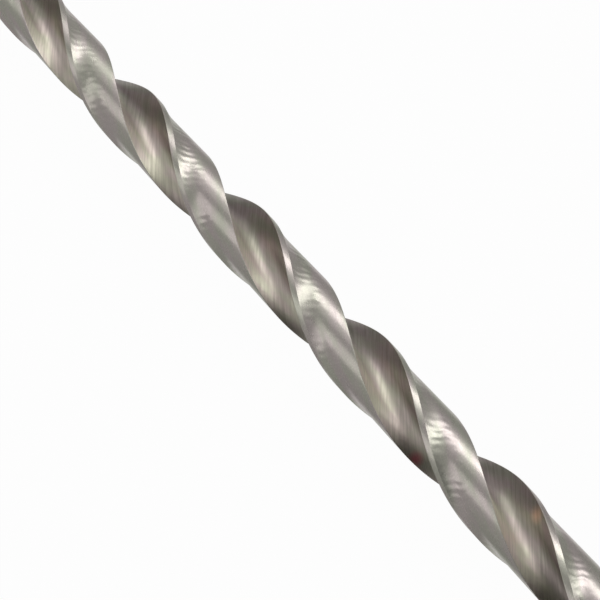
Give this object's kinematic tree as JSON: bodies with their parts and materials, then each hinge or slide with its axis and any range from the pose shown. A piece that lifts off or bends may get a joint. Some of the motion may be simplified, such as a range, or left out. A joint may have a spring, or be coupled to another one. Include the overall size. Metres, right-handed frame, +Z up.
{
  "type": "twist drill bit",
  "caption": "Long straight-shank twist drill with a right-hand helix, ground margins, a conical 118 degree point and a plain round shank.",
  "frame": {"origin": "centre of the flat end of the shank, on the drill's axis", "axes": "+X along the axis towards the point; +Z up with the drill lying on its side, cutting edges' corners in the horizontal plane at the point"},
  "size_m": [0.132, 0.005, 0.005],
  "materials": {
    "steel": "ground bright, with grinding lines along the flutes"
  },
  "bodies": {
    "root": {"drill_bit": "steel"}
  },
  "joints": []
}
